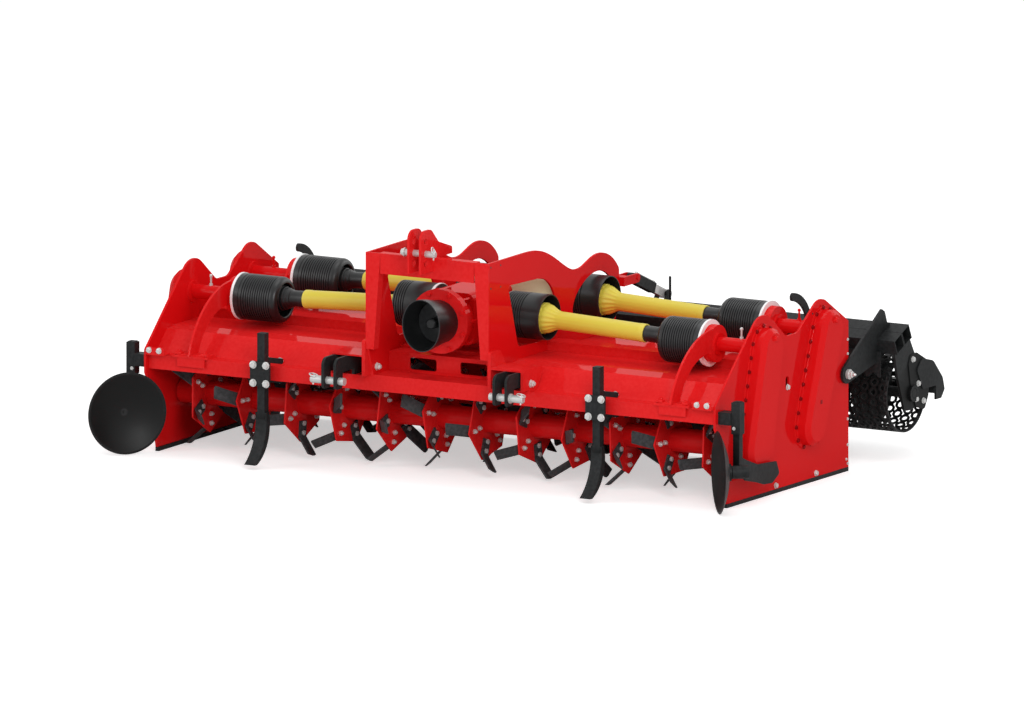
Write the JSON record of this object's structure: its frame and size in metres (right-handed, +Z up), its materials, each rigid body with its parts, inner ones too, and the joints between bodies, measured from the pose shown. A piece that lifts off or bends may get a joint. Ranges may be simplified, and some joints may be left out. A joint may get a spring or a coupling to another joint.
{
  "type": "mounted bed former",
  "caption": "Three-point mounted bed former: powered rotors under a hood, side chain cases, guarded cross shafts, edge discs and a rear perforated roller on swinging arms.",
  "frame": {"origin": "centre of the bounding box on the floor the skids stand on", "axes": "+X to the machine's right seen from the front, along its width; +Y towards the rear roller; the tractor stands at -Y; +Z up"},
  "size_m": [3.4876, 2.2235, 1.235],
  "materials": {
    "red_paint": "gloss",
    "black_paint": "satin",
    "blade_steel": "satin",
    "black_plastic": "satin",
    "yellow_plastic": "satin",
    "white_plastic": "satin",
    "plain_plate": "satin",
    "disc_steel": "satin",
    "roller_steel": "satin",
    "zinc_steel": "zinc plated"
  },
  "bodies": {
    "machine": {"side_plate_left": "red_paint", "side_plate_right": "red_paint", "front_beam": "red_paint", "hood_front": "red_paint", "hood_deck": "red_paint", "rear_board": "red_paint", "hood_stiffener": "red_paint", "headstock_legs": "red_paint", "headstock_crossbar": "red_paint", "centre_plate_left": "red_paint", "centre_plate_right": "red_paint", "headstock_cheeks": "red_paint", "hitch_bays": "red_paint", "top_link_mast": "red_paint", "gearbox_front": "red_paint", "gearbox_rear": "red_paint", "gearbox_cradle": "red_paint", "bearing_arms": "red_paint", "stub_tubes": "red_paint", "chain_cases_front": "red_paint", "chain_cases_rear": "red_paint", "adjuster_forks": "red_paint", "hitch_ears": "black_paint", "track_tines": "black_paint", "tine_clamps": "black_paint", "disc_arms": "black_paint", "disc_sleeves": "black_paint", "disc_wings": "black_paint", "rear_bars": "black_paint", "wear_skids": "black_paint", "input_guard": "black_plastic", "inner_guard_cups": "black_plastic", "outer_guard_cups": "black_plastic", "shaft_guards_black": "black_plastic", "lower_hitch_pins": "zinc_steel", "top_link_pin": "zinc_steel", "roller_pivot_pins": "zinc_steel", "input_shaft": "zinc_steel", "drive_shafts": "zinc_steel", "shaft_guards_yellow": "yellow_plastic", "guard_rings": "white_plastic", "cross_plate": "plain_plate"},
    "front_rotor": {"rotor_front": "red_paint", "rotor_front_blades": "blade_steel"},
    "rear_rotor": {"rotor_rear": "red_paint", "rotor_rear_blades": "blade_steel"},
    "left_disc": {"disc_left": "disc_steel"},
    "right_disc": {"disc_right": "disc_steel"},
    "roller_frame": {"roller_beams": "black_paint", "roller_arms": "black_paint", "roller_end_arms": "black_paint", "scraper_fans": "black_paint", "scraper_beam": "black_paint", "adjuster_lugs": "black_paint"},
    "roller_drum": {"roller": "roller_steel"},
    "left_link": {"adjuster_link_left": "black_paint"},
    "left_rod": {"adjuster_rod_left": "zinc_steel"},
    "right_link": {"adjuster_link_right": "black_paint"},
    "right_rod": {"adjuster_rod_right": "zinc_steel"}
  },
  "joints": [
    {"name": "front_rotor_spin", "type": "hinge", "parent": "machine", "child": "front_rotor", "pos_m": [0, -0.557, 0.26], "axis": [1, 0, 0], "continuous": true},
    {"name": "rear_rotor_spin", "type": "hinge", "parent": "machine", "child": "rear_rotor", "pos_m": [0, -0.035, 0.282], "axis": [1, 0, 0], "continuous": true},
    {"name": "left_disc_spin", "type": "hinge", "parent": "machine", "child": "left_disc", "pos_m": [-1.614, -0.96, 0.203], "axis": [-0.766, 0.6428, 0], "continuous": true},
    {"name": "right_disc_spin", "type": "hinge", "parent": "machine", "child": "right_disc", "pos_m": [1.614, -0.96, 0.203], "axis": [0.766, 0.6428, 0], "continuous": true},
    {"name": "roller_swing", "type": "hinge", "parent": "machine", "child": "roller_frame", "pos_m": [0, 0.338, 0.474], "axis": [1, 0, 0], "range_deg": [-12, 10]},
    {"name": "drum_spin", "type": "hinge", "parent": "roller_frame", "child": "roller_drum", "pos_m": [0, 0.818, 0.314], "axis": [1, 0, 0], "continuous": true},
    {"name": "left_link_swing", "type": "hinge", "parent": "machine", "child": "left_link", "pos_m": [-0.329, 0.464, 0.81], "axis": [1, 0, 0], "range_deg": [-11.5, 9.6]},
    {"name": "left_rod_slide", "type": "slide", "parent": "left_link", "child": "left_rod", "axis": [0, 0.9235, -0.3835], "range_m": [-0.064, 0.0765]},
    {"name": "right_link_swing", "type": "hinge", "parent": "machine", "child": "right_link", "pos_m": [0.329, 0.464, 0.81], "axis": [1, 0, 0], "range_deg": [-11.5, 9.6]},
    {"name": "right_rod_slide", "type": "slide", "parent": "right_link", "child": "right_rod", "axis": [0, 0.9235, -0.3835], "range_m": [-0.064, 0.0765]}
  ],
  "couplings": [
    {"joint": "left_link_swing", "follows": "roller_swing", "ratio": 0.93},
    {"joint": "left_rod_slide", "follows": "roller_swing", "m_per_rad": -0.357},
    {"joint": "right_link_swing", "follows": "roller_swing", "ratio": 0.93},
    {"joint": "right_rod_slide", "follows": "roller_swing", "m_per_rad": -0.357}
  ]
}
